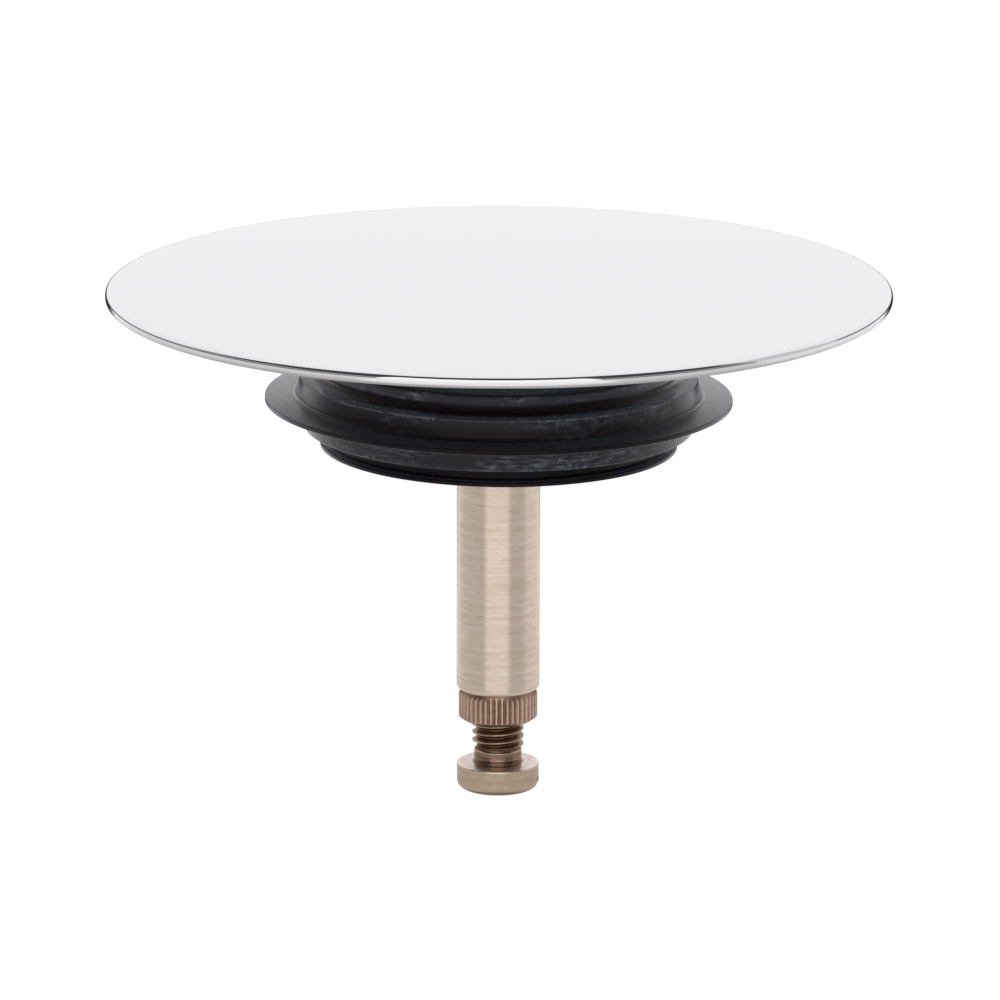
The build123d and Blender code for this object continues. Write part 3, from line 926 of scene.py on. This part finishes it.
def floorReflection(tree):  # what metal sees of the floor: lit in front of the object, dark far behind it, with a painted shadow under the foot
    size = studio["floor"]
    place = addNode(tree, "ShaderNodeNewGeometry", -10, 3).outputs["Position"]
    x, y = splitAxes(tree, -9, 3, place)[:2]
    turn = addMath(tree, "ARCTAN2", -8, 3, x, addMath(tree, "MULTIPLY", -8, 4, y, -1.0))
    share = addMath(tree, "ADD", -7, 3, addMath(tree, "DIVIDE", -7, 4, turn, math.tau), 0.5)
    stops = [(at / (2 * halfTurn) + 0.5, level) for at, level in size["panels"]]
    panels = addRamp(tree, -6, 3, share, stops)
    away = addMath(tree, "DIVIDE", -6, 6, seenFromAbove(tree, -8, 6, x, y)[1], mm)
    beyond = softStep(tree, -5, 6, away, size["nearEnd"], size["farStart"])
    lit = mixLevels(tree, -4, 3, beyond, size["near"], panels)
    side = degrees(tree, -6, 8, addMath(tree, "ABSOLUTE", -7, 8, turn))
    behind = softStep(tree, -5, 8, side, *size["gapSide"])
    far = softStep(tree, -5, 7, away, size["gapFrom"], size["gapTo"])
    gap = mixLevels(tree, -3, 3, addMath(tree, "MULTIPLY", -4, 7, behind, far), lit, size["gap"])
    # A painted shadow darkens what metal sees of the floor near the foot.
    clear = softStep(tree, -4, 9, away, *size["paintedShadowReach"])
    return mixLevels(tree, -2, 3, clear, size["paintedFootShadow"], gap)


def studioFloor():
    size = studio["floor"]
    half = size["size"] / 2
    height = (screwLow.z - size["drop"]) * mm
    corners = [(-half, -half, height), (half, -half, height), (half, half, height), (-half, half, height)]
    mesh = bpy.data.meshes.new("floor")
    mesh.from_pydata(corners, [], [(0, 1, 2, 3)])
    floor = bpy.data.objects.new("floor", mesh)
    bpy.context.scene.collection.objects.link(floor)
    material, tree, shader = newMaterial("pale floor")
    tree.nodes.remove(shader)
    paint = addNode(tree, "ShaderNodeBsdfDiffuse", 0, 0, {"Color": grey(size["paint"])})
    shade = addNode(tree, "ShaderNodeBsdfDiffuse", 0, 1, {"Color": grey(size["shadow"])})
    glow = addNode(tree, "ShaderNodeEmission", 0, 2, {"Strength": 1 - size["shadow"] * size["lit"]})
    seen = addNode(tree, "ShaderNodeAddShader", 1, 1)
    tree.links.new(shade.outputs[0], seen.inputs[0])
    tree.links.new(glow.outputs[0], seen.inputs[1])
    mirrored = addNode(tree, "ShaderNodeEmission", 0, 4)
    tree.links.new(floorReflection(tree), mirrored.inputs["Strength"])
    path = addNode(tree, "ShaderNodeLightPath", 0, 6)
    camera, through = path.outputs["Is Camera Ray"], path.outputs["Is Transmission Ray"]
    direct = addMath(tree, "MAXIMUM", 1, 3, camera, through)
    surface = paint
    for column, (factor, shown) in enumerate(((direct, seen), (path.outputs["Is Glossy Ray"], mirrored))):
        choose = addNode(tree, "ShaderNodeMixShader", 2 + column, 0)
        tree.links.new(factor, choose.inputs[0])
        tree.links.new(surface.outputs[0], choose.inputs[1])
        tree.links.new(shown.outputs[0], choose.inputs[2])
        surface = choose
    tree.links.new(surface.outputs[0], tree.nodes["Material Output"].inputs["Surface"])
    mesh.materials.append(material)


view = {
    "place": (0.0, -754.3, 180.4), "aim": (0.14, 0.0, -9.87), "roll": 0.1586, "lens": 292.1, "sensor": 36.0,
}


def studioCamera():
    data = bpy.data.cameras.new("camera")
    data.lens, data.sensor_width = view["lens"], view["sensor"]
    camera = bpy.data.objects.new("camera", data)
    bpy.context.scene.collection.objects.link(camera)
    eye, aim = Vector(view["place"]) * mm, Vector(view["aim"]) * mm
    forward = (aim - eye).normalized()
    right = forward.cross(Vector((0, 0, 1))).normalized()
    up = right.cross(forward)
    roll = math.radians(view["roll"])
    tilted = right * math.cos(roll) + up * math.sin(roll)
    upright = up * math.cos(roll) - right * math.sin(roll)
    camera.matrix_world = Matrix.Translation(eye) @ Matrix((tilted, upright, -forward)).transposed().to_4x4()
    bpy.context.scene.camera = camera


studioWorld()
studioSoftbox()
studioFloor()
studioCamera()
bpy.context.scene.view_settings.view_transform = "Standard"
print("studio ready")
